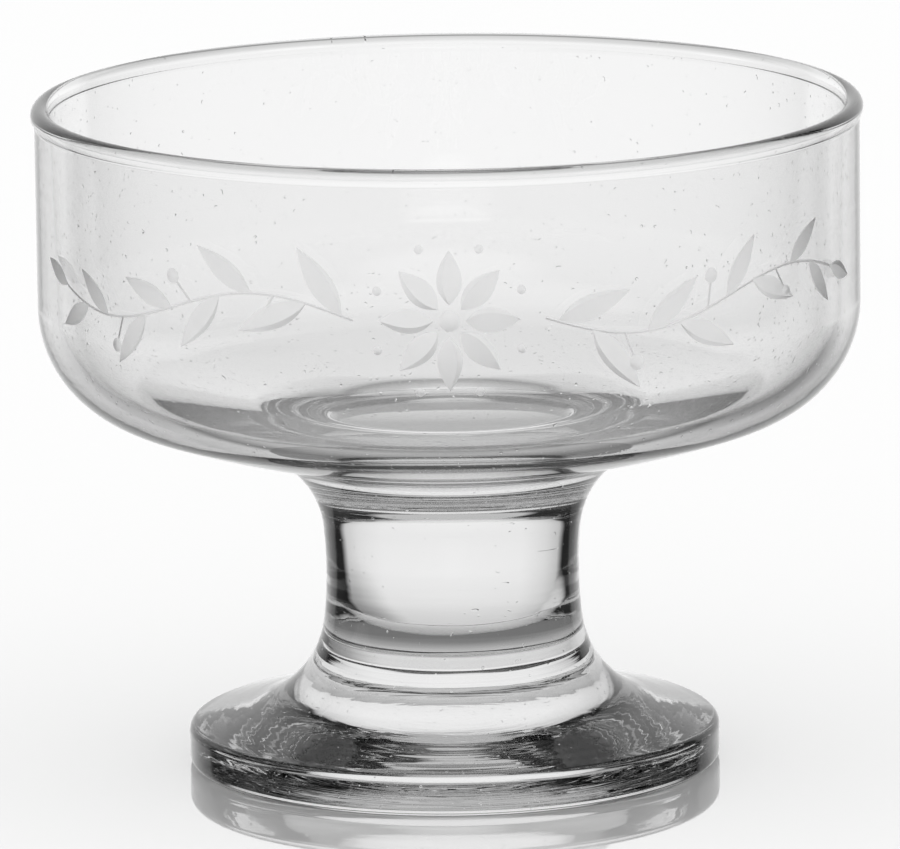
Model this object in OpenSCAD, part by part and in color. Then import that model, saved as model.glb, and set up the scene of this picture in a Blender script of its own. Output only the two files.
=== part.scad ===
// Footed dessert glass in clear glass: a round bowl, a short solid stem and a thick foot.
// The three are separate gathers of glass, fused on the flat faces where they meet.
// The origin is the middle of the plane that the foot rests on, and +Z is up.
// A tilt is how far a surface leans from the upright, in degrees.

/* [Overall] */
// Height from the table to the top of the rim
height = 82.6; // [78:0.1:110]

/* [Rim] */
// Diameter over the rolled bead of the rim
rim_d = 102; // [94:0.5:130]
// How far the bead stands out past the wall's outside
bead_out = 0.45; // [0.1:0.05:1]
// How far the bead stands in past the wall's inside
bead_in = 0.1; // [0.05:0.05:0.8]

/* [Bowl] */
// Thickness of the wall just under the bead
wall_top_t = 1.75; // [1.2:0.05:3]
// Thickness of the wall where the lower corner begins
wall_low_t = 2.3; // [1.5:0.05:4]
// Thickness of the glass round the lower corner
corner_t = 2.35; // [1.5:0.05:4]
// Thickness of the floor over the stem, at the middle
floor_t = 5; // [2:0.1:6]
// Outside radius of the lower corner
corner_r = 14.4; // [10:0.1:20]
// Tilt at which the corner runs into the underside
corner_tilt = 70.6; // [60:0.1:75]

/* [Stem] */
// Diameter of the stem at its waist
stem_d = 31.2; // [24:0.1:36]
// Radius of the long hollow bend of the waist
waist_bend_r = 54; // [35:0.5:90]
// Tilt at which the waist runs into the neck, above
waist_top_tilt = 5.6; // [2:0.1:12]
// Tilt at which the waist runs into the flare, below
waist_low_tilt = 6.5; // [2:0.1:12]
// Radius of the neck, the bend under the bowl
neck_bend_r = 11.6; // [6:0.1:14]
// Tilt at which the neck runs into the bowl's underside
neck_tilt = 77.8; // [76:0.1:84]
// Tilt of the neck where the bowl is joined on
neck_joint_tilt = 55; // [30:1:70]

/* [Foot] */
// Diameter of the foot
foot_d = 65.6; // [60:0.1:85]
// Height of the foot's upright edge
foot_edge_h = 4; // [1.5:0.05:6]
// Radius of the shoulder between the upright edge and the slope
shoulder_r = 1.2; // [1:0.1:4]
// Radius of the bend between the slope and the stem
flare_bend_r = 12.8; // [8:0.1:15]
// Tilt of the slope on top of the foot
slope_tilt = 74.2; // [66:0.1:84]
// Tilt of the flare where the stem is joined on
flare_joint_tilt = 55; // [30:1:64]
// Radius of the rounding at the foot's bottom edge
base_edge_r = 1; // [0.3:0.1:1.4]
// Diameter of the shallow hollow under the foot
hollow_d = 52; // [30:0.5:56]
// Depth of the hollow under the foot
hollow_h = 0.2; // [0.1:0.05:1]

/* [Hidden] */
clear_glass = [0.86, 0.92, 0.94, 0.45];
// The most that a chord may stray from its arc
smooth_sag = 0.01;
// Faces of the preview round the axis
turn_faces = 180;

// Foot: the centres of its bends, and the ring on which the stem stands
foot_r = foot_d / 2;
base_edge_c = [foot_r - base_edge_r, base_edge_r];
shoulder_c = [foot_r - shoulder_r, foot_edge_h];
slope_out = on_bend(shoulder_c, shoulder_r, slope_tilt);
waist_c_r = stem_d / 2 + waist_bend_r;
flare_c_r = waist_c_r - (waist_bend_r - flare_bend_r) * cos(waist_low_tilt);
slope_in_r = flare_c_r - flare_bend_r * cos(slope_tilt);
slope_rise = (slope_out[0] - slope_in_r) / tan(slope_tilt);
flare_c = [flare_c_r, slope_out[1] + slope_rise + flare_bend_r * sin(slope_tilt)];
foot_ring = on_bend(flare_c, flare_bend_r, 180 + flare_joint_tilt);
hollow_r = hollow_d / 2;
hollow_bend_r = (hollow_r * hollow_r + hollow_h * hollow_h) / (2 * hollow_h);
hollow_c = [0, hollow_h - hollow_bend_r];

// Stem: the waist, the neck above it, and the ring on which the bowl stands
waist_c = on_bend(flare_c, waist_bend_r - flare_bend_r, waist_low_tilt);
neck_c = on_bend(waist_c, waist_bend_r - neck_bend_r, 180 - waist_top_tilt);
neck_end = on_bend(neck_c, neck_bend_r, 180 - neck_tilt);
neck_ring = on_bend(neck_c, neck_bend_r, 180 - neck_joint_tilt);

// Bowl outside: the underside takes the bend that joins the neck to the corner
bowl_r = rim_d / 2 - bead_out;
corner_low_r = bowl_r - corner_r + corner_r * cos(corner_tilt);
under_bend_r = (corner_low_r - neck_end[0]) / (cos(corner_tilt) - cos(neck_tilt));
under_c = on_bend(neck_end, under_bend_r, 180 - neck_tilt);
corner_c = on_bend(under_c, under_bend_r - corner_r, -corner_tilt);

// Rim: the bead's circle and the two angles at which it meets the wall
bead_r = (wall_top_t + bead_out + bead_in) / 2;
bead_c = [rim_d / 2 - bead_r, height - bead_r];
bead_in_angle = 360 - acos((bowl_r - wall_top_t - bead_c[0]) / bead_r);
bead_out_angle = -acos((bowl_r - bead_c[0]) / bead_r);

// Bowl inside: the floor takes the bend that meets the inner corner smoothly
wall_in_top = on_bend(bead_c, bead_r, bead_in_angle);
wall_in_low = [bowl_r - wall_low_t, corner_c[1]];
wall_tilt = atan2(wall_in_top[0] - wall_in_low[0], wall_in_top[1] - wall_in_low[1]);
inner_corner_r = corner_r - corner_t;
inner_corner_c = on_bend(wall_in_low, inner_corner_r, 180 - wall_tilt);
floor_z = neck_ring[1] + floor_t;
floor_dip = inner_corner_c[1] - inner_corner_r - floor_z;
floor_reach = (inner_corner_c[0] * inner_corner_c[0] + floor_dip * floor_dip) / (2 * floor_dip);
floor_bend_r = floor_reach + inner_corner_r;
floor_c = [0, floor_z + floor_bend_r];
floor_tilt = atan2(floor_reach - floor_dip, inner_corner_c[0]);

// The point of a bend at an angle, counted from straight out, anticlockwise
function on_bend(centre, radius, angle) = centre + radius * [cos(angle), sin(angle)];

// The points of a bend after its first, which the line before it already holds
function bend(centre, radius, from, to) =
    let (
        step = 2 * acos(1 - smooth_sag / radius),
        count = ceil(abs(to - from) / step)
    )
    [for (i = [1:count]) on_bend(centre, radius, from + (to - from) * i / count)];

module turned(outline) {
    color(clear_glass)
        rotate_extrude($fn = turn_faces)
            polygon(outline);
}

module bowl() {
    turned(concat(
        [[0, floor_z]],
        bend(floor_c, floor_bend_r, -90, -floor_tilt),
        bend(inner_corner_c, inner_corner_r, -floor_tilt, -wall_tilt),
        [wall_in_top],
        bend(bead_c, bead_r, bead_in_angle, bead_out_angle),
        [[bowl_r, corner_c[1]]],
        bend(corner_c, corner_r, 0, -corner_tilt),
        bend(under_c, under_bend_r, -corner_tilt, -neck_tilt),
        bend(neck_c, neck_bend_r, 180 - neck_tilt, 180 - neck_joint_tilt),
        [[0, neck_ring[1]]]
    ));
}

module stem() {
    turned(concat(
        [[0, neck_ring[1]], neck_ring],
        bend(neck_c, neck_bend_r, 180 - neck_joint_tilt, 180 - waist_top_tilt),
        bend(waist_c, waist_bend_r, 180 - waist_top_tilt, 180 + waist_low_tilt),
        bend(flare_c, flare_bend_r, 180 + waist_low_tilt, 180 + flare_joint_tilt),
        [[0, foot_ring[1]]]
    ));
}

module foot() {
    turned(concat(
        [[0, foot_ring[1]], foot_ring],
        bend(flare_c, flare_bend_r, 180 + flare_joint_tilt, 180 + slope_tilt),
        [slope_out],
        bend(shoulder_c, shoulder_r, slope_tilt, 0),
        [[foot_r, base_edge_r]],
        bend(base_edge_c, base_edge_r, 0, -90),
        [[hollow_r, 0]],
        bend(hollow_c, hollow_bend_r, acos(hollow_r / hollow_bend_r), 90)
    ));
}

bowl();
stem();
foot();
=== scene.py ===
import math

import bpy
from mathutils import Euler, Matrix, Vector
from mathutils.geometry import delaunay_2d_cdt

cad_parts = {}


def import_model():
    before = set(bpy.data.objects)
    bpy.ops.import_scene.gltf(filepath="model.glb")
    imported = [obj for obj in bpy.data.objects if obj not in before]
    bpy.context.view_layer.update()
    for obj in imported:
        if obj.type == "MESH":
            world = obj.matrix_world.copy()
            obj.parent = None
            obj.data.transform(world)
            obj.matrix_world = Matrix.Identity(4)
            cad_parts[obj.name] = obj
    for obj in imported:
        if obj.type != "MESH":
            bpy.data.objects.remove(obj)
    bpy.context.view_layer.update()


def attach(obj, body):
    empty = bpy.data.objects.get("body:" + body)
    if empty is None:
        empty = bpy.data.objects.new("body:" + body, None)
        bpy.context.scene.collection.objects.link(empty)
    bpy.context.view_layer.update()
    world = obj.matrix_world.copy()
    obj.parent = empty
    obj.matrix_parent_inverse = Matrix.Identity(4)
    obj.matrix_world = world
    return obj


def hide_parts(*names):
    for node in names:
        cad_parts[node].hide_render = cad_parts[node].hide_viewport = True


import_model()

scene = bpy.context.scene

# A low footed dessert glass in clear glass, as three fused pieces, with a cut garland on its bowl.
# Every size below is in millimetres, and every angle in degrees, unless its name says otherwise.
MM = 0.001

# Sizes of the solids, as the part's source has them
HEIGHT = 82.6
RIM_D = 102
BEAD_OUT = 0.45
BEAD_IN = 0.1
WALL_TOP_T = 1.75
WALL_LOW_T = 2.3
CORNER_T = 2.35
FLOOR_T = 5
CORNER_R = 14.4
CORNER_TILT = 70.6
STEM_D = 31.2
WAIST_BEND_R = 54
WAIST_TOP_TILT = 5.6
WAIST_LOW_TILT = 6.5
NECK_BEND_R = 11.6
NECK_TILT = 77.8
NECK_JOINT_TILT = 55
FOOT_D = 65.6
FOOT_EDGE_H = 4
SHOULDER_R = 1.2
FLARE_BEND_R = 12.8
SLOPE_TILT = 74.2
FLARE_JOINT_TILT = 55
BASE_EDGE_R = 1
HOLLOW_D = 52
HOLLOW_H = 0.2

# Fineness of the turned meshes: steps round the axis, along each bend and along straight stretches
TURN_STEPS = 768
ARC_STEP = 3
SMALL_ARC_STEPS = 6
WALL_STEPS = 12
SLOPE_STEPS = 4
EDGE_STEPS = 2
BASE_STEPS = 4
# Points are one where they agree to so many decimals: on a turned mesh, and where parts are joined
RING_DECIMALS = 6
JOIN_DECIMALS = 4


def cos(angle):
    return math.cos(math.radians(angle))


def sin(angle):
    return math.sin(math.radians(angle))


def on_bend(centre, radius, angle):
    """The point of a bend at an angle, counted from straight out, anticlockwise."""
    return centre[0] + radius * cos(angle), centre[1] + radius * sin(angle)


class Profile:
    """The centres and rings of the glass, worked out from the sizes as in the part's source."""

    def __init__(self):
        foot_r = FOOT_D / 2
        self.foot_r = foot_r
        self.base_edge_c = (foot_r - BASE_EDGE_R, BASE_EDGE_R)
        self.shoulder_c = (foot_r - SHOULDER_R, FOOT_EDGE_H)
        self.slope_out = on_bend(self.shoulder_c, SHOULDER_R, SLOPE_TILT)
        waist_c_r = STEM_D / 2 + WAIST_BEND_R
        flare_c_r = waist_c_r - (WAIST_BEND_R - FLARE_BEND_R) * cos(WAIST_LOW_TILT)
        slope_in_r = flare_c_r - FLARE_BEND_R * cos(SLOPE_TILT)
        slope_rise = (self.slope_out[0] - slope_in_r) / math.tan(math.radians(SLOPE_TILT))
        flare_z = self.slope_out[1] + slope_rise + FLARE_BEND_R * sin(SLOPE_TILT)
        self.flare_c = (flare_c_r, flare_z)
        self.foot_ring = on_bend(self.flare_c, FLARE_BEND_R, 180 + FLARE_JOINT_TILT)
        self.hollow_r = HOLLOW_D / 2
        self.hollow_bend_r = (self.hollow_r ** 2 + HOLLOW_H ** 2) / (2 * HOLLOW_H)
        self.hollow_c = (0, HOLLOW_H - self.hollow_bend_r)
        self.waist_c = on_bend(self.flare_c, WAIST_BEND_R - FLARE_BEND_R, WAIST_LOW_TILT)
        self.neck_c = on_bend(self.waist_c, WAIST_BEND_R - NECK_BEND_R, 180 - WAIST_TOP_TILT)
        neck_end = on_bend(self.neck_c, NECK_BEND_R, 180 - NECK_TILT)
        self.neck_ring = on_bend(self.neck_c, NECK_BEND_R, 180 - NECK_JOINT_TILT)
        self.bowl_r = RIM_D / 2 - BEAD_OUT
        corner_low_r = self.bowl_r - CORNER_R + CORNER_R * cos(CORNER_TILT)
        self.under_bend_r = (corner_low_r - neck_end[0]) / (cos(CORNER_TILT) - cos(NECK_TILT))
        self.under_c = on_bend(neck_end, self.under_bend_r, 180 - NECK_TILT)
        self.corner_c = on_bend(self.under_c, self.under_bend_r - CORNER_R, -CORNER_TILT)
        self.bead_r = (WALL_TOP_T + BEAD_OUT + BEAD_IN) / 2
        self.bead_c = (RIM_D / 2 - self.bead_r, HEIGHT - self.bead_r)
        inner_top_r = self.bowl_r - WALL_TOP_T
        wall_in_low = (self.bowl_r - WALL_LOW_T, self.corner_c[1])
        rise = self.bead_c[1] - wall_in_low[1]
        self.wall_tilt = math.degrees(math.atan2(inner_top_r - wall_in_low[0], rise))
        self.inner_corner_r = CORNER_R - CORNER_T
        self.inner_corner_c = on_bend(wall_in_low, self.inner_corner_r, 180 - self.wall_tilt)
        floor_z = self.neck_ring[1] + FLOOR_T
        dip = self.inner_corner_c[1] - self.inner_corner_r - floor_z
        reach = (self.inner_corner_c[0] ** 2 + dip ** 2) / (2 * dip)
        self.floor_bend_r = reach + self.inner_corner_r
        self.floor_c = (0, floor_z + self.floor_bend_r)
        self.floor_tilt = math.degrees(math.atan2(reach - dip, self.inner_corner_c[0]))


P = Profile()

# Soft hollows where the rim bead runs into the wall
BEAD_FILLET_R = 0.9


def bend(centre, radius, start, end, side=1):
    """Points (r, z) of a bend with their normals; side is 1 where the centre is inside the glass."""
    steps = max(SMALL_ARC_STEPS, math.ceil(abs(end - start) / ARC_STEP))
    run = []
    for i in range(steps + 1):
        angle = start + (end - start) * i / steps
        r, z = on_bend(centre, radius, angle)
        run.append((max(r, 0), z, side * cos(angle), side * sin(angle)))
    return run


def straight(start, end, normal, steps=1):
    """Points of a straight stretch, all with one normal."""
    run = []
    for i in range(steps + 1):
        t = i / steps
        run.append((start[0] + (end[0] - start[0]) * t, start[1] + (end[1] - start[1]) * t) + normal)
    return run


def joined(*runs):
    """One smooth run from stretches that meet smoothly."""
    whole = list(runs[0])
    for run in runs[1:]:
        whole += run[1:]
    return whole


def turn(runs, slots, columns=None):
    """Vertices, faces, slots and corner normals of what the runs draw round the axis."""
    columns = columns or range(TURN_STEPS)
    verts, faces, face_slots, normals = [], [], [], []
    rings = {}

    def ring(r, z):
        key = (round(r, RING_DECIMALS), round(z, RING_DECIMALS))
        if key not in rings:
            count = TURN_STEPS if key[0] else 1
            rings[key] = (len(verts), count)
            for i in range(count):
                a = 2 * math.pi * i / TURN_STEPS
                verts.append((r * math.cos(a), r * math.sin(a), z))
        return rings[key]

    def normal_at(point, i):
        a = 2 * math.pi * i / TURN_STEPS
        return point[2] * math.cos(a), point[2] * math.sin(a), point[3]

    for run, slot in zip(runs, slots):
        for p, q in zip(run, run[1:]):
            (a0, a_count), (b0, b_count) = ring(p[0], p[1]), ring(q[0], q[1])
            for i in columns:
                j = (i + 1) % TURN_STEPS
                corners = []
                if a_count > 1:
                    corners += [(a0 + i, p, i), (a0 + j, p, i + 1)]
                else:
                    corners += [(a0, p, i + 0.5)]
                if b_count > 1:
                    corners += [(b0 + j, q, i + 1), (b0 + i, q, i)]
                else:
                    corners += [(b0, q, i + 0.5)]
                faces.append([c[0] for c in corners])
                normals.append([normal_at(c[1], c[2]) for c in corners])
                face_slots.append(slot)
    return verts, faces, face_slots, normals


def facing_out(verts, face, normal):
    """The face's corners in the order that makes it look along its normal."""
    a, b, c = (Vector(verts[i]) for i in face[:3])
    return (b - a).cross(c - a).dot(Vector(normal)) >= 0


def build(name, parts, materials):
    """A mesh object, in metres, from parts that each hold vertices, faces, slots and normals."""
    verts, faces, slots, normals = [], [], [], []
    places = {}
    for part_verts, part_faces, part_slots, part_normals in parts:
        index = []
        for v in part_verts:
            key = tuple(round(x, JOIN_DECIMALS) for x in v)
            if key not in places:
                places[key] = len(verts)
                verts.append(v)
            index.append(places[key])
        for face, slot, corner_normals in zip(part_faces, part_slots, part_normals):
            mean = [sum(axis) for axis in zip(*corner_normals)]
            if not facing_out(part_verts, face, mean):
                face, corner_normals = face[::-1], corner_normals[::-1]
            faces.append([index[i] for i in face])
            slots.append(slot)
            normals.append(corner_normals)
    mesh = bpy.data.meshes.new(name)
    mesh.from_pydata([tuple(x * MM for x in v) for v in verts], [], faces)
    mesh.polygons.foreach_set("material_index", slots)
    mesh.polygons.foreach_set("use_smooth", [True] * len(faces))
    for material in materials:
        mesh.materials.append(material)
    mesh.update()
    mesh.normals_split_custom_set([n for face in normals for n in face])
    piece = bpy.data.objects.new(name, mesh)
    scene.collection.objects.link(piece)
    return piece


# The camera: its sensor and lens, its place and reach in metres, how far down it looks and its roll
SENSOR_W = 36
LENS = 416.46
CAMERA_PLACE_M = (-0.0001, -1.25766, 0.29506)
CAMERA_REACH_M = (0.05, 20)
CAMERA_DOWN = 11.382
CAMERA_ROLL = -0.75


def camera():
    """A long lens, a little above the glass, turned by the photograph's slight tilt."""
    data = bpy.data.cameras.new("camera")
    data.sensor_width = SENSOR_W
    data.lens = LENS
    data.clip_start, data.clip_end = CAMERA_REACH_M
    cam = bpy.data.objects.new("camera", data)
    cam.location = CAMERA_PLACE_M
    aim = Euler((math.radians(90 - CAMERA_DOWN), 0, 0)).to_matrix()
    turned = aim @ Matrix.Rotation(math.radians(CAMERA_ROLL), 3, "Z")
    cam.rotation_euler = turned.to_euler()
    scene.collection.objects.link(cam)
    scene.camera = cam


# Slots of the materials that every piece holds
CLEAR, JOINT, CUT = 0, 1, 2


class Nodes:
    """Short ways to add linked shader nodes to a tree."""

    def __init__(self, tree):
        self.tree = tree

    def add(self, kind, **settings):
        node = self.tree.nodes.new(kind)
        for name, value in settings.items():
            setattr(node, name, value)
        return node

    def link(self, source, target):
        self.tree.links.new(source, target)

    def math(self, operation, *values):
        node = self.add("ShaderNodeMath", operation=operation)
        for socket, value in zip(node.inputs, values):
            if isinstance(value, (int, float)):
                socket.default_value = value
            else:
                self.link(value, socket)
        return node.outputs[0]

    def curve(self, value, stops):
        """The level at a value, on straight lines between (position, level) stops."""
        low, high = stops[0][0], stops[-1][0]
        share = self.add("ShaderNodeMapRange")
        self.link(value, share.inputs["Value"])
        share.inputs["From Min"].default_value = low
        share.inputs["From Max"].default_value = high
        ramp = self.add("ShaderNodeValToRGB")
        ramp.color_ramp.interpolation = "LINEAR"
        points = ramp.color_ramp.elements
        while len(points) < len(stops):
            points.new(0.5)
        for point, (position, level) in zip(points, stops):
            point.position = (position - low) / (high - low)
            point.color = (level, level, level, 1)
        self.link(share.outputs[0], ramp.inputs[0])
        return ramp.outputs["Color"]

    def stretch(self, value, stops):
        """The same for levels above one: the line is drawn at a share of its highest level."""
        top = max(level for _, level in stops)
        shares = [(position, level / top) for position, level in stops]
        return self.math("MULTIPLY", self.curve(value, shares), top)

    def mix_shader(self, share, first, second):
        node = self.add("ShaderNodeMixShader")
        if isinstance(share, (int, float)):
            node.inputs[0].default_value = share
        else:
            self.link(share, node.inputs[0])
        self.link(first, node.inputs[1])
        self.link(second, node.inputs[2])
        return node.outputs[0]


GLASS_IOR = 1.52
# How strongly the glass is rippled, by height in metres: most on the foot, least on the bowl
RIPPLE_BY_HEIGHT = (
    (0, 1), (0.001, 1), (0.0014, 1.8), (0.0045, 1.8), (0.006, 1), (0.009, 1.1), (0.014, 1.1),
    (0.02, 0.5), (0.036, 0.14), (0.05, 0.1), (0.09, 0.1),
)
# Ripples to the metre, how many lie round the axis, how they shift there from front to back, how
# much finer ripples add, and their depth in metres
RIPPLES_PER_M = 650
RIPPLE_TURNS = 0.9
RIPPLE_SKEW = 0.6
RIPPLE_FINENESS = 0.6
RIPPLE_DEPTH_M = 0.000036
# Seeds: how fine their pattern is, the levels of it that make one, and their dent in ripple depths
SEEDS_PER_M = 1800
SEED_LEVELS = (0.8, 0.87)
SEED_DENT = 1
# The ground cuts: the grains to the metre, how many finer layers they have, the grain's depth in
# metres, the levels of the grain between which the roughness rises, and the share left clear
GRAINS_PER_M = 9000
GRAIN_LAYERS = 3
GRAIN_DEPTH_M = 0.000004
GRAIN_LEVELS = (0.3, 0.7)
GROUND_ROUGHNESS = (0.36, 0.5)
GROUND_CLEAR_SHARE = 0.64
# How much of the light the solid stem and foot let through and throw back at their outside
THICK_GLASS_TINT = 0.86
THICK_GLASS_SHINE = 0.2


def glass_shader(name, tint=1, shine=1):
    """A new clear glass material: its helper and its shader."""
    mat = bpy.data.materials.new(name)
    mat.use_nodes = True
    shader = mat.node_tree.nodes["Principled BSDF"]
    shader.inputs["Base Color"].default_value = (tint, tint, tint, 1)
    shader.inputs["Transmission Weight"].default_value = 1
    shader.inputs["Roughness"].default_value = 0
    shader.inputs["IOR"].default_value = GLASS_IOR
    shader.inputs["Specular Tint"].default_value = (shine, shine, shine, 1)
    return mat, Nodes(mat.node_tree), shader


def glass_material(name, tint=1, shine=1):
    """Clear glass with the fine rings that the tools leave round it, and a few seeds."""
    mat, nodes, shader = glass_shader(name, tint, shine)
    place = nodes.add("ShaderNodeTexCoord").outputs["Object"]
    axes = nodes.add("ShaderNodeSeparateXYZ")
    nodes.link(place, axes.inputs[0])
    x, y, z = axes.outputs
    squares = nodes.math("ADD", nodes.math("MULTIPLY", x, x), nodes.math("MULTIPLY", y, y))
    radius = nodes.math("SQRT", squares)
    skewed = nodes.math("ADD", x, nodes.math("MULTIPLY", y, RIPPLE_SKEW))
    turned = nodes.math("DIVIDE", skewed, nodes.math("MAXIMUM", radius, MM))
    rings = nodes.add("ShaderNodeCombineXYZ")
    nodes.link(nodes.math("MULTIPLY", radius, RIPPLES_PER_M), rings.inputs[0])
    nodes.link(nodes.math("MULTIPLY", z, RIPPLES_PER_M), rings.inputs[1])
    nodes.link(nodes.math("MULTIPLY", turned, RIPPLE_TURNS), rings.inputs[2])
    ripple = nodes.add("ShaderNodeTexNoise")
    nodes.link(rings.outputs[0], ripple.inputs["Vector"])
    ripple.inputs["Scale"].default_value = 1
    ripple.inputs["Detail"].default_value = 1
    ripple.inputs["Roughness"].default_value = RIPPLE_FINENESS
    seeds = nodes.add("ShaderNodeTexNoise")
    nodes.link(place, seeds.inputs["Vector"])
    seeds.inputs["Scale"].default_value = SEEDS_PER_M
    seeds.inputs["Detail"].default_value = 0
    dent = nodes.add("ShaderNodeMapRange", interpolation_type="SMOOTHSTEP")
    nodes.link(seeds.outputs[0], dent.inputs["Value"])
    dent.inputs["From Min"].default_value = SEED_LEVELS[0]
    dent.inputs["From Max"].default_value = SEED_LEVELS[1]
    dent.inputs["To Max"].default_value = SEED_DENT
    height = nodes.math("MULTIPLY", ripple.outputs[0], nodes.stretch(z, RIPPLE_BY_HEIGHT))
    bump = nodes.add("ShaderNodeBump")
    nodes.link(nodes.math("SUBTRACT", height, dent.outputs[0]), bump.inputs["Height"])
    bump.inputs["Distance"].default_value = RIPPLE_DEPTH_M
    nodes.link(bump.outputs[0], shader.inputs["Normal"])
    return mat


def cut_material():
    """Glass ground by the wheel and left matt: an even grain with rougher and smoother patches."""
    mat, nodes, shader = glass_shader("ground_cut")
    shader.inputs["Transmission Weight"].default_value = GROUND_CLEAR_SHARE
    place = nodes.add("ShaderNodeTexCoord").outputs["Object"]
    grain = nodes.add("ShaderNodeTexNoise")
    nodes.link(place, grain.inputs["Vector"])
    grain.inputs["Scale"].default_value = GRAINS_PER_M
    grain.inputs["Detail"].default_value = GRAIN_LAYERS
    rough = nodes.add("ShaderNodeMapRange")
    nodes.link(grain.outputs[0], rough.inputs["Value"])
    rough.inputs["From Min"].default_value = GRAIN_LEVELS[0]
    rough.inputs["From Max"].default_value = GRAIN_LEVELS[1]
    rough.inputs["To Min"].default_value = GROUND_ROUGHNESS[0]
    rough.inputs["To Max"].default_value = GROUND_ROUGHNESS[1]
    nodes.link(rough.outputs[0], shader.inputs["Roughness"])
    bump = nodes.add("ShaderNodeBump")
    nodes.link(grain.outputs[0], bump.inputs["Height"])
    bump.inputs["Distance"].default_value = GRAIN_DEPTH_M
    nodes.link(bump.outputs[0], shader.inputs["Normal"])
    return mat


def joint_material():
    """The inner faces where two pieces are fused: light passes them as if they weren't there."""
    mat = bpy.data.materials.new("fused_joint")
    mat.use_nodes = True
    tree = mat.node_tree
    tree.nodes.remove(tree.nodes["Principled BSDF"])
    clear = tree.nodes.new("ShaderNodeBsdfTransparent")
    tree.links.new(clear.outputs[0], tree.nodes["Material Output"].inputs[0])
    return mat


# The wheel-cut garland on the front of the bowl. Places on the wall are x, the arc length round it
# from straight ahead, and h, the height, which goes on as arc length below the wall's straight part.
GARLAND_H = 64.5
STAR_PETALS = 8
STAR_PETAL_START = 1.9
STAR_PETAL_LENGTH = 6.6
STAR_PETAL_W = 3
STAR_DOT_R = 1.25
STAR_RING_R = 9.3
STAR_RING_DOT_R = 0.55
BRANCH_START = 11.5
BRANCH_LENGTH = 46.4
WAVE_REACH = 2.6
WAVE_LENGTH = 48
# The way from leaf pair to leaf pair in so many parts: a branch's heading is read one part each way
HEADING_PARTS = 99
LEAF_PAIRS = 4
LEAF_LENGTH = 9.8
LEAF_W = 3
LEAF_FULLNESS = 1.25
LEAF_TAPER = 0.5
LEAF_TIP_SHARE = 0.72
LEAF_ANGLE = 37
LEAF_PLACE_SHARES = (0.12, 0.5)
LEAF_DEPTH = 0.26
LEAF_DEPTH_POWER = 0.7
LEAF_RIDGE_SHARE = 0.78
LEAF_EDGE_STEPS = 14
# Lines along a leaf with more points, as shares of its half width
LEAF_INNER_SHARES = (-0.6, -0.2, 0.2)
STEM_CUT_W = 0.34
STEM_CUT_DEPTH = 0.08
STEM_STEPS_PER_PAIR = 8
BERRY_R = 1
BERRY_DEPTH = 0.2
BERRY_STALK = 3
BERRY_ANGLE = 64
BERRY_PLACE_SHARE = 0.86
BERRY_EDGE_STEPS = 26
# Rings inside a dot: their share of its radius and their points
BERRY_RINGS = ((0.72, 19), (0.4, 13))
# The band of the wall that the cuts lie in, and how near plain points of its mesh come to a cut
BAND_TOP = 76
BAND_ROWS = 6
BAND_LOW_TILT = 33
CLEAR_OF_CUTS = 0.2
CLEAR_PROBES = 8
# How far apart the heights are read for a cut's slope, how near two points of the mesh are one, and
# the least depth of a cut face's middle
SLOPE_READ_GAP = 0.004
SAME_POINT_GAP = 1e-5
CUT_LEAST_DEPTH = 1e-4
# The way from a face's corner to its middle in so many parts: the slope is read one part in
SLOPE_READ_PARTS = 5


# Each kind of cut gives its depth at a place, the lines that its mesh follows, more points inside it,
# and a circle that holds it.
class Leaf:
    """A pointed cut with one steep side: its depth grows slowly to a ridge near its other edge."""

    def __init__(self, base, angle, length, width, steep):
        self.base = base
        self.length = length
        self.half = width / 2
        self.steep = steep
        self.along = (cos(angle), sin(angle))
        self.across = (-sin(angle), cos(angle))

    def spread(self, u):
        """The width at a share of the length, fuller near the base."""
        return 4 * u * (1 - u) * (LEAF_FULLNESS - LEAF_TAPER * u)

    def point(self, u, v):
        a = u * self.length
        b = v * self.half * self.spread(u) * self.steep
        return (self.base[0] + a * self.along[0] + b * self.across[0],
                self.base[1] + a * self.along[1] + b * self.across[1])

    def depth(self, x, h):
        dx, dh = x - self.base[0], h - self.base[1]
        u = (dx * self.along[0] + dh * self.along[1]) / self.length
        if not 0 < u < 1:
            return 0
        b = (dx * self.across[0] + dh * self.across[1]) * self.steep
        q = (b / (self.half * self.spread(u)) + 1) / 2
        if not 0 < q < 1:
            return 0
        ridge = LEAF_RIDGE_SHARE
        rise = q / ridge if q < ridge else (1 - q) / (1 - ridge)
        return LEAF_DEPTH * rise * self.spread(u) ** LEAF_DEPTH_POWER

    def lines(self):
        """The closed outline and the ridge."""
        shares = [i / LEAF_EDGE_STEPS for i in range(LEAF_EDGE_STEPS + 1)]
        low = [self.point(u, -1) for u in shares]
        high = [self.point(u, 1) for u in shares[-2:0:-1]]
        ridge = [self.point(u, 2 * LEAF_RIDGE_SHARE - 1) for u in shares]
        return [low + high + low[:1], ridge]

    def inner(self):
        steps = range(1, LEAF_EDGE_STEPS)
        return [self.point(i / LEAF_EDGE_STEPS, v) for i in steps for v in LEAF_INNER_SHARES]

    def reach(self):
        return self.point(0.5, 0), self.length / 2 + self.half


class Dot:
    """A round, dished cut."""

    def __init__(self, centre, radius):
        self.centre = centre
        self.radius = radius

    def depth(self, x, h):
        share = ((x - self.centre[0]) ** 2 + (h - self.centre[1]) ** 2) / self.radius ** 2
        return BERRY_DEPTH * min(self.radius, 1) * max(0, 1 - share)

    def ring(self, share, count):
        return [on_bend(self.centre, share * self.radius, 360 * i / count) for i in range(count)]

    def lines(self):
        edge = self.ring(1, BERRY_EDGE_STEPS)
        return [edge + edge[:1]]

    def inner(self):
        rings = [self.ring(share, count) for share, count in BERRY_RINGS]
        return [point for ring in rings for point in ring] + [self.centre]

    def reach(self):
        return self.centre, self.radius


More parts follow.
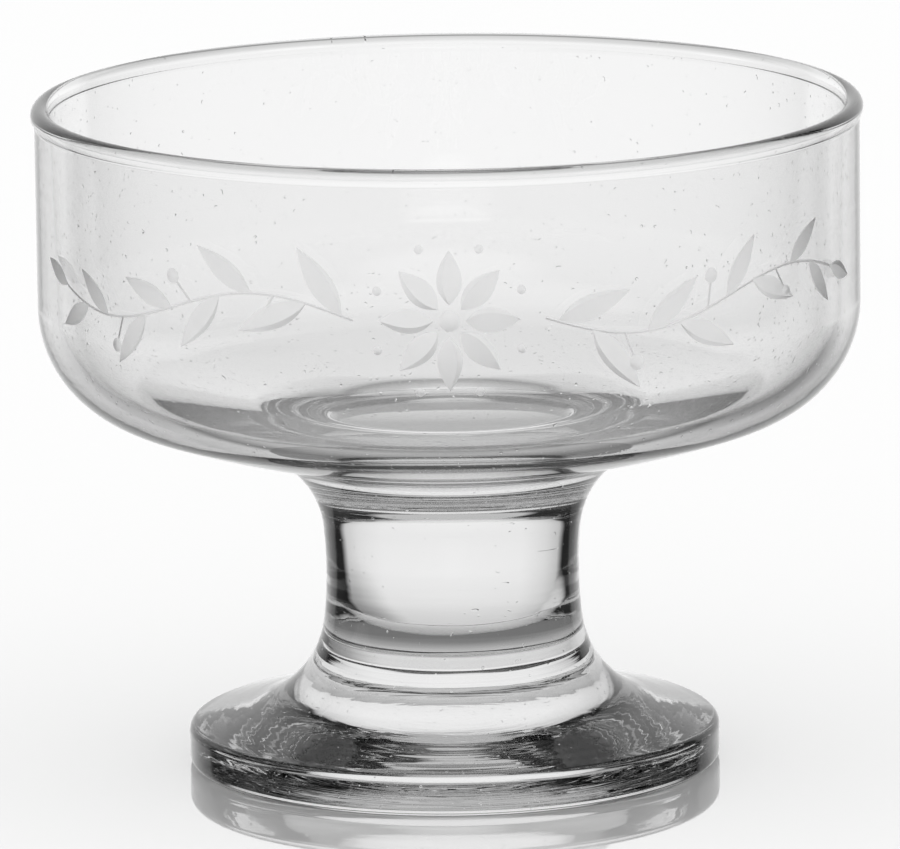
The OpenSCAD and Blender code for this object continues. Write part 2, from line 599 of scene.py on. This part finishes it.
class Groove:
    """A thin V cut along a line of points."""

    def __init__(self, points):
        self.points = points

    def depth(self, x, h):
        best = STEM_CUT_W
        for (ax, ah), (bx, bh) in zip(self.points, self.points[1:]):
            dx, dh = bx - ax, bh - ah
            t = max(0, min(1, ((x - ax) * dx + (h - ah) * dh) / (dx * dx + dh * dh)))
            best = min(best, math.hypot(x - ax - t * dx, h - ah - t * dh))
        return STEM_CUT_DEPTH * max(0, 1 - 2 * best / STEM_CUT_W)

    def side(self, shift):
        line = []
        last = len(self.points) - 1
        for i, (x, h) in enumerate(self.points):
            (ax, ah), (bx, bh) = self.points[max(i - 1, 0)], self.points[min(i + 1, last)]
            length = math.hypot(bx - ax, bh - ah)
            line.append((x - shift * (bh - ah) / length, h + shift * (bx - ax) / length))
        return line

    def lines(self):
        left = self.side(STEM_CUT_W / 2)
        right = self.side(-STEM_CUT_W / 2)
        return [left + right[::-1] + left[:1], self.points]

    def inner(self):
        return []

    def reach(self):
        (ax, ah), (bx, bh) = self.points[0], self.points[-1]
        return ((ax + bx) / 2, (ah + bh) / 2), math.hypot(bx - ax, bh - ah) / 2 + WAVE_REACH


def branch(side):
    """Cuts of one branch: a swaying stem with leaves on both sides and a few berries."""
    pitch = BRANCH_LENGTH / LEAF_PAIRS

    def path(t):
        return side * (BRANCH_START + t), GARLAND_H - side * WAVE_REACH * sin(360 * t / WAVE_LENGTH)

    def heading(t):
        near = pitch / HEADING_PARTS
        (ax, ah), (bx, bh) = path(t - near), path(t + near)
        return math.degrees(math.atan2(bh - ah, bx - ax))

    steps = LEAF_PAIRS * STEM_STEPS_PER_PAIR
    line = [path(BRANCH_LENGTH * i / steps) for i in range(steps + 1)]
    cuts = [Groove(line[i:i + STEM_STEPS_PER_PAIR + 1]) for i in range(0, steps, STEM_STEPS_PER_PAIR)]
    for i in range(LEAF_PAIRS):
        size = 1 - (1 - LEAF_TIP_SHARE) * i / LEAF_PAIRS
        for way, share in zip((side, -side), LEAF_PLACE_SHARES):
            t = (i + share) * pitch
            aim = heading(t) + way * LEAF_ANGLE
            cuts.append(Leaf(path(t), aim, LEAF_LENGTH * size, LEAF_W * size, way))
        if i < LEAF_PAIRS - 1:
            t = (i + BERRY_PLACE_SHARE) * pitch
            aim = heading(t) + (side if i % 2 else -side) * BERRY_ANGLE
            start = path(t)
            cuts.append(Groove([start, on_bend(start, BERRY_STALK, aim)]))
            cuts.append(Dot(on_bend(start, BERRY_STALK + BERRY_R * size, aim), BERRY_R * size))
    tip = LEAF_TIP_SHARE
    end = path(BRANCH_LENGTH)
    cuts.append(Leaf(end, heading(BRANCH_LENGTH), LEAF_LENGTH * tip, LEAF_W * tip, side))
    return cuts


def star():
    """A round star of pointed petals with a dot at its middle and small dots round it."""
    middle = (0, GARLAND_H)
    cuts = [Dot(middle, STAR_DOT_R)]
    turn_step = 360 / STAR_PETALS
    for i in range(STAR_PETALS):
        angle = 90 + i * turn_step
        start = on_bend(middle, STAR_PETAL_START, angle)
        cuts.append(Leaf(start, angle, STAR_PETAL_LENGTH, STAR_PETAL_W, 1))
        between = angle + turn_step / 2
        cuts.append(Dot(on_bend(middle, STAR_RING_R, between), STAR_RING_DOT_R))
    return cuts


def wall_point(x, h):
    """Radius, height and the outward normal's two shares at a place on the bowl's outside."""
    below = P.corner_c[1] - h
    if below <= 0:
        return P.bowl_r, h, 1, 0
    t = math.degrees(below / CORNER_R)
    r, z = on_bend(P.corner_c, CORNER_R, -t)
    return r, z, cos(-t), sin(-t)


def band_rows():
    """Heights of the band's rings, from its top down."""
    straight_rise = BAND_TOP - P.corner_c[1]
    rows = [BAND_TOP - straight_rise * j / BAND_ROWS for j in range(BAND_ROWS)]
    steps = round(BAND_LOW_TILT / ARC_STEP)
    arc = math.radians(ARC_STEP) * CORNER_R
    return rows + [P.corner_c[1] - arc * j for j in range(steps + 1)]


def cut_band():
    """The band's front half: a triangle mesh that follows every edge of the cuts."""
    cuts = star() + branch(1) + branch(-1)
    reaches = [cut.reach() for cut in cuts]
    turns = [360 * i / CLEAR_PROBES for i in range(CLEAR_PROBES)]

    def near(x, h, slack=0.0):
        found = zip(cuts, reaches)
        return [cut for cut, ((cx, ch), r) in found if math.hypot(x - cx, h - ch) < r + slack]

    def depth(x, h):
        return max([cut.depth(x, h) for cut in near(x, h)], default=0)

    def touches_cut(x, h):
        found = near(x, h, CLEAR_OF_CUTS)
        spots = [(x, h)] + [on_bend((x, h), CLEAR_OF_CUTS, turn_by) for turn_by in turns]
        return any(cut.depth(*spot) > 0 for cut in found for spot in spots)

    step = 2 * math.pi * P.bowl_r / TURN_STEPS
    quarter = TURN_STEPS // 4
    rows = band_rows()
    points, exact, edges = [], {}, []
    for h in rows:
        for k in range(-quarter, quarter + 1):
            border = h in (rows[0], rows[-1]) or abs(k) == quarter
            if border or not touches_cut(k * step, h):
                exact[len(points)] = (k, h)
                points.append((k * step, h))
    for cut in cuts:
        for line in cut.lines():
            first = len(points)
            closed = line[0] == line[-1]
            body = line[:-1] if closed else line
            points += body
            edges += [(first + i, first + i + 1) for i in range(len(body) - 1)]
            if closed:
                edges.append((first + len(body) - 1, first))
        points += cut.inner()
    out = delaunay_2d_cdt([Vector(p) for p in points], edges, [], 0, SAME_POINT_GAP)
    flat, verts, frames = [], [], []
    for place, origin in zip(out[0], out[3]):
        grid = next((exact[i] for i in origin if i in exact), None)
        if grid:
            k, h = grid
            x, deep = k * step, 0
            a = 2 * math.pi * ((k - quarter) % TURN_STEPS) / TURN_STEPS
        else:
            x, h = points[origin[0]] if origin else place
            deep = depth(x, h)
            a = x / P.bowl_r - math.pi / 2
        r, z, nr, nz = wall_point(x, h)
        verts.append(((r - deep * nr) * math.cos(a), (r - deep * nr) * math.sin(a), z - deep * nz))
        flat.append((x, h))
        frames.append((a, nr, nz))
    slots, normals = [], []
    gap = SLOPE_READ_GAP
    for face in out[2]:
        middle = [sum(flat[i][n] for i in face) / len(face) for n in (0, 1)]
        is_cut = depth(*middle) > CUT_LEAST_DEPTH
        slots.append(CUT if is_cut else CLEAR)
        corners = []
        for i in face:
            a, nr, nz = frames[i]
            normal = Vector((nr * math.cos(a), nr * math.sin(a), nz))
            if is_cut:
                x, h = (flat[i][n] + (middle[n] - flat[i][n]) / SLOPE_READ_PARTS for n in (0, 1))
                slope_x = (depth(x + gap, h) - depth(x - gap, h)) / (2 * gap)
                slope_h = (depth(x, h + gap) - depth(x, h - gap)) / (2 * gap)
                sideways = Vector((-math.sin(a), math.cos(a), 0))
                upward = Vector((-nz * math.cos(a), -nz * math.sin(a), nr))
                normal = (normal + slope_x * sideways + slope_h * upward).normalized()
            corners.append(tuple(normal))
        normals.append(corners)
    return verts, [list(face) for face in out[2]], slots, normals


def bowl_runs():
    """The bowl's runs but for the band of the cuts, their slots, and the band."""
    inner = joined(
        bend(P.floor_c, P.floor_bend_r, -90, -P.floor_tilt, -1),
        bend(P.inner_corner_c, P.inner_corner_r, -P.floor_tilt, -P.wall_tilt, -1),
    )
    wall_low = inner[-1]
    tilt = P.wall_tilt
    # The inner hollow of the bead touches the leaning inner wall and the bead's circle
    reach = P.bead_r + BEAD_FILLET_R
    foot = (wall_low[0], wall_low[1])
    lean = (sin(tilt), cos(tilt))
    inward = (-cos(tilt), sin(tilt))
    base = (foot[0] + inward[0] * BEAD_FILLET_R, foot[1] + inward[1] * BEAD_FILLET_R)
    to_bead = (base[0] - P.bead_c[0], base[1] - P.bead_c[1])
    half_b = to_bead[0] * lean[0] + to_bead[1] * lean[1]
    gap = to_bead[0] ** 2 + to_bead[1] ** 2 - reach ** 2
    along = -half_b - math.sqrt(half_b ** 2 - gap)
    in_c = (base[0] + along * lean[0], base[1] + along * lean[1])
    in_touch = (foot[0] + along * lean[0], foot[1] + along * lean[1])
    in_angle = math.degrees(math.atan2(P.bead_c[1] - in_c[1], P.bead_c[0] - in_c[0]))
    # The outer hollow touches the upright outer wall and the bead's circle
    out_c_r = P.bowl_r + BEAD_FILLET_R
    drop = math.sqrt(reach ** 2 - (out_c_r - P.bead_c[0]) ** 2)
    out_c = (out_c_r, P.bead_c[1] - drop)
    out_angle = math.degrees(math.atan2(P.bead_c[1] - out_c[1], P.bead_c[0] - out_c[0]))
    whole = joined(
        inner,
        straight(foot, in_touch, (-cos(tilt), sin(tilt)), WALL_STEPS),
        bend(in_c, BEAD_FILLET_R, -tilt, in_angle, -1),
        bend(P.bead_c, P.bead_r, 180 + in_angle, out_angle - 180, 1),
        bend(out_c, BEAD_FILLET_R, out_angle, 180, -1),
        straight((P.bowl_r, out_c[1]), (P.bowl_r, BAND_TOP), (1, 0)),
    )
    band = [wall_point(0, h) for h in band_rows()]
    under = joined(
        bend(P.corner_c, CORNER_R, -BAND_LOW_TILT, -CORNER_TILT),
        bend(P.under_c, P.under_bend_r, -CORNER_TILT, -NECK_TILT),
        bend(P.neck_c, NECK_BEND_R, 180 - NECK_TILT, 180 - NECK_JOINT_TILT, -1),
    )
    joint = straight(P.neck_ring, (0, P.neck_ring[1]), (0, -1))
    return [whole, under, joint], [CLEAR, CLEAR, JOINT], band


def stem_runs():
    """The stem's runs and their slots."""
    top = straight((0, P.neck_ring[1]), P.neck_ring, (0, 1))
    side = joined(
        bend(P.neck_c, NECK_BEND_R, 180 - NECK_JOINT_TILT, 180 - WAIST_TOP_TILT, -1),
        bend(P.waist_c, WAIST_BEND_R, 180 - WAIST_TOP_TILT, 180 + WAIST_LOW_TILT, -1),
        bend(P.flare_c, FLARE_BEND_R, 180 + WAIST_LOW_TILT, 180 + FLARE_JOINT_TILT, -1),
    )
    low = straight(P.foot_ring, (0, P.foot_ring[1]), (0, -1))
    return [top, side, low], [JOINT, CLEAR, JOINT]


def foot_runs():
    """The foot's runs and their slots."""
    top = straight((0, P.foot_ring[1]), P.foot_ring, (0, 1))
    slope_in = on_bend(P.flare_c, FLARE_BEND_R, 180 + SLOPE_TILT)
    outside = joined(
        bend(P.flare_c, FLARE_BEND_R, 180 + FLARE_JOINT_TILT, 180 + SLOPE_TILT, -1),
        straight(slope_in, P.slope_out, (cos(SLOPE_TILT), sin(SLOPE_TILT)), SLOPE_STEPS),
        bend(P.shoulder_c, SHOULDER_R, SLOPE_TILT, 0),
        straight((P.foot_r, FOOT_EDGE_H), (P.foot_r, BASE_EDGE_R), (1, 0), EDGE_STEPS),
        bend(P.base_edge_c, BASE_EDGE_R, 0, -90),
        straight((P.foot_r - BASE_EDGE_R, 0), (P.hollow_r, 0), (0, -1), BASE_STEPS),
    )
    edge = math.degrees(math.acos(P.hollow_r / P.hollow_bend_r))
    hollow = bend(P.hollow_c, P.hollow_bend_r, edge, 90, -1)
    return [top, outside, hollow], [JOINT, CLEAR, CLEAR]


# The studio, as the glass shows it: the backdrop's brightness straight behind it, by height angle
BACKDROP_BY_HEIGHT = (
    (-90, 0), (-48, 0), (-42, 0.64), (-30, 0.74), (-22, 0.8), (-16, 0.92), (-11, 1), (0, 0.96),
    (20, 1), (34, 0.95), (46, 0.72), (58, 0.5), (90, 0.4),
)
# how much narrower it is higher up and lower down
BACKDROP_NARROWING = (
    (-90, 1.5), (-34, 1.22), (-20, 1.04), (-12, 1), (14, 1), (34, 1.35), (50, 2), (90, 2.4),
)
# and its brightness by the angle round the glass, counted from straight behind
BACKDROP_BY_SIDE = (
    (-180, 0.03), (-100, 0.03), (-50, 0.02), (-45, 0.66), (-36, 0.84), (-24, 0.98), (0, 1),
    (24, 0.99), (36, 0.9), (45, 0.74), (50, 0.02), (100, 0.03), (180, 0.03),
)
# The lit ceiling, and the table beyond the foot and under it
CEILING_BY_HEIGHT = ((-90, 0), (55, 0), (62, 0.55), (90, 0.58))
TABLE_BY_HEIGHT = (
    (-90, 0.66), (-66, 0.62), (-52, 0.44), (-44, 0.12), (-25, 0.06), (-18, 0), (90, 0),
)
# Round soft lights: the side angle, the height angle, the level and the half widths of the whole and
# of its even middle. These lie on the table in front of the glass, and above the camera,
NEAR_LIGHTS = ((180, -28, 1, 14, 9), (180, 46, 0.6, 30, 12))
# these stand behind the glass or under it for other cameras, and show where it is looked through,
BACK_LIGHTS = (
    (-45, -25, 0.74, 14, 4), (135, -15, 0.9, 20, 8), (-90, -3, 0.9, 16, 8), (0, -90, 0.86, 42, 26),
)
# and these where the table mirrors them
MIRRORED_LIGHTS = ((-45, 25, 1, 14, 7), (135, 15, 1, 14, 7), (-90, 4, 1, 14, 7))
# A dark spot on the far right of the table, given in the same way
DARK_SPOTS = ((42, -32, 0.5, 24, 6),)
# What is left of the light on its way through the glass, by the times that it was thrown back
LEFT_BY_BOUNCES = ((0, 1), (1, 1), (2, 0.8), (3, 0.32), (4, 0.12), (8, 0.04))
# Painted shade and light that the table under the foot gives off, by how far in metres it lies behind
# the axis: painted shadow under the front edge and under the stem, painted light between them and at
# the back. The radius in metres within which this painted shade shows follows
PAINTED_SHADE_BY_DEPTH = ((-0.033, 0.1), (-0.016, 0.5), (0, 0.2), (0.016, 0.2), (0.033, 0.75))
PAINTED_SHADE_R_M = 0.0325
# The floor in metres: half its side, how far it lies under the foot, and the radii between which it
# fades into the white all round
FLOOR_HALF_M = 3
FLOOR_DROP_M = 0.00005
FLOOR_FADE_M = (0.5, 2.5)
# The share of its surface that mirrors, and how softly
FLOOR_GLOSS = 0.55
FLOOR_GLOSS_ROUGHNESS = 0.03


def floor():
    """A pale floor with a soft mirror image. Through the glass it shows only under the foot, where it
    glows with painted shade and light.
    """
    mesh = bpy.data.meshes.new("floor")
    s = FLOOR_HALF_M
    z = -FLOOR_DROP_M
    mesh.from_pydata([(-s, -s, z), (s, -s, z), (s, s, z), (-s, s, z)], [], [(0, 1, 2, 3)])
    mat = bpy.data.materials.new("floor")
    mat.use_nodes = True
    tree = mat.node_tree
    tree.nodes.remove(tree.nodes["Principled BSDF"])
    nodes = Nodes(tree)
    path = nodes.add("ShaderNodeLightPath")
    diffuse = nodes.add("ShaderNodeBsdfDiffuse")
    diffuse.inputs["Color"].default_value = (1, 1, 1, 1)
    gloss = nodes.add("ShaderNodeBsdfGlossy")
    gloss.inputs["Roughness"].default_value = FLOOR_GLOSS_ROUGHNESS
    gloss.inputs["Color"].default_value = (1, 1, 1, 1)
    shine = nodes.mix_shader(FLOOR_GLOSS, diffuse.outputs[0], gloss.outputs[0])
    place = nodes.add("ShaderNodeVectorMath", operation="LENGTH")
    position = nodes.add("ShaderNodeNewGeometry").outputs["Position"]
    nodes.link(position, place.inputs[0])
    axes = nodes.add("ShaderNodeSeparateXYZ")
    nodes.link(position, axes.inputs[0])
    # Painted shade and light under the foot: a glow, seen only by rays through or off the glass
    painted_shade = nodes.add("ShaderNodeEmission")
    nodes.link(nodes.curve(axes.outputs["Y"], PAINTED_SHADE_BY_DEPTH), painted_shade.inputs["Color"])
    through = nodes.add("ShaderNodeBsdfTransparent")
    off_foot = nodes.math("GREATER_THAN", place.outputs["Value"], PAINTED_SHADE_R_M)
    seen = nodes.mix_shader(off_foot, painted_shade.outputs[0], through.outputs[0])
    indirect = nodes.math("MAXIMUM", path.outputs["Is Glossy Ray"], path.outputs["Is Transmission Ray"])
    by_trans = nodes.mix_shader(indirect, shine, seen)
    fade = nodes.add("ShaderNodeMapRange", interpolation_type="SMOOTHSTEP")
    nodes.link(place.outputs["Value"], fade.inputs["Value"])
    fade.inputs["From Min"].default_value = FLOOR_FADE_M[0]
    fade.inputs["From Max"].default_value = FLOOR_FADE_M[1]
    faded = nodes.mix_shader(fade.outputs[0], by_trans, through.outputs[0])
    nodes.link(faded, tree.nodes["Material Output"].inputs[0])
    mesh.materials.append(mat)
    obj = bpy.data.objects.new("floor", mesh)
    scene.collection.objects.link(obj)


def round_lights(nodes, direction, lights):
    """The brightest of some round soft spots, by direction."""
    level = 0
    for side, height, most, half_width, middle in lights:
        toward = nodes.add("ShaderNodeVectorMath", operation="DOT_PRODUCT")
        nodes.link(direction, toward.inputs[0])
        flat = cos(height)
        toward.inputs[1].default_value = (sin(side) * flat, cos(side) * flat, sin(height))
        lit = nodes.add("ShaderNodeMapRange", interpolation_type="SMOOTHSTEP")
        nodes.link(toward.outputs["Value"], lit.inputs["Value"])
        lit.inputs["From Min"].default_value = cos(half_width)
        lit.inputs["From Max"].default_value = cos(middle)
        lit.inputs["To Max"].default_value = most
        level = nodes.math("MAXIMUM", lit.outputs[0], level)
    return level


def world():
    """White all round, but for what shows through the glass: the studio's shapes by direction."""
    studio = bpy.data.worlds.new("studio")
    scene.world = studio
    studio.use_nodes = True
    tree = studio.node_tree
    nodes = Nodes(tree)
    away = nodes.add("ShaderNodeSeparateXYZ")
    direction = nodes.add("ShaderNodeTexCoord").outputs["Generated"]
    nodes.link(direction, away.inputs[0])
    height = nodes.math("DEGREES", nodes.math("ARCSINE", away.outputs["Z"]))
    side = nodes.math("DEGREES", nodes.math("ARCTAN2", away.outputs["X"], away.outputs["Y"]))
    spread = nodes.math("MULTIPLY", side, nodes.stretch(height, BACKDROP_NARROWING))
    by_height = nodes.curve(height, BACKDROP_BY_HEIGHT)
    by_side = nodes.curve(spread, BACKDROP_BY_SIDE)
    backdrop = nodes.math("MULTIPLY", by_height, by_side)
    table = nodes.curve(height, TABLE_BY_HEIGHT)
    ceiling = nodes.curve(height, CEILING_BY_HEIGHT)
    shown = nodes.math("MAXIMUM", backdrop, table)
    shown = nodes.math("MAXIMUM", shown, round_lights(nodes, direction, NEAR_LIGHTS))
    spots = round_lights(nodes, direction, DARK_SPOTS)
    shown = nodes.math("MULTIPLY", shown, nodes.math("SUBTRACT", 1, spots))
    path = nodes.add("ShaderNodeLightPath")
    left = nodes.curve(path.outputs["Glossy Depth"], LEFT_BY_BOUNCES)
    shown = nodes.math("MULTIPLY", shown, left)
    # The lights behind the glass show only straight through it
    unmirrored = nodes.math("LESS_THAN", path.outputs["Glossy Depth"], 1)
    back = nodes.math("MULTIPLY", round_lights(nodes, direction, BACK_LIGHTS), unmirrored)
    # and their mirror images only off its outside or off the table
    outside = nodes.math("LESS_THAN", path.outputs["Transmission Depth"], 1)
    off_outside = nodes.math("MULTIPLY", outside, path.outputs["Is Glossy Ray"])
    mirrored = nodes.math("MULTIPLY", round_lights(nodes, direction, MIRRORED_LIGHTS), off_outside)
    for light in (ceiling, back, mirrored):
        shown = nodes.math("MAXIMUM", shown, light)
    # To all but the rays through and off the glass the surround is plain white
    pick = nodes.add("ShaderNodeMapRange")
    seen = nodes.math("MAXIMUM", path.outputs["Is Transmission Ray"], path.outputs["Is Glossy Ray"])
    nodes.link(seen, pick.inputs["Value"])
    pick.inputs["To Min"].default_value = 1
    nodes.link(shown, pick.inputs["To Max"])
    nodes.link(pick.outputs[0], tree.nodes["Background"].inputs["Color"])


camera()
thin_glass = glass_material("clear_glass")
thick_glass = glass_material("thick_glass", THICK_GLASS_TINT, THICK_GLASS_SHINE)
joint = joint_material()
cut = cut_material()
bowl, bowl_slots, band = bowl_runs()
rear = range(TURN_STEPS // 2)
shapes = {
    "bowl": [turn(bowl, bowl_slots), turn([band], [CLEAR], rear), cut_band()],
    "stem": [turn(*stem_runs())],
    "foot": [turn(*foot_runs())],
}
for node, parts in shapes.items():
    glass = thin_glass if node == "bowl" else thick_glass
    piece = build(node + "_glass", parts, [glass, joint, cut])
    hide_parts(node)
    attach(piece, "root")
floor()
world()

scene.view_settings.view_transform = "Standard"
scene.cycles.max_bounces = 32
scene.cycles.transmission_bounces = 32
scene.cycles.glossy_bounces = 16
scene.cycles.transparent_max_bounces = 64
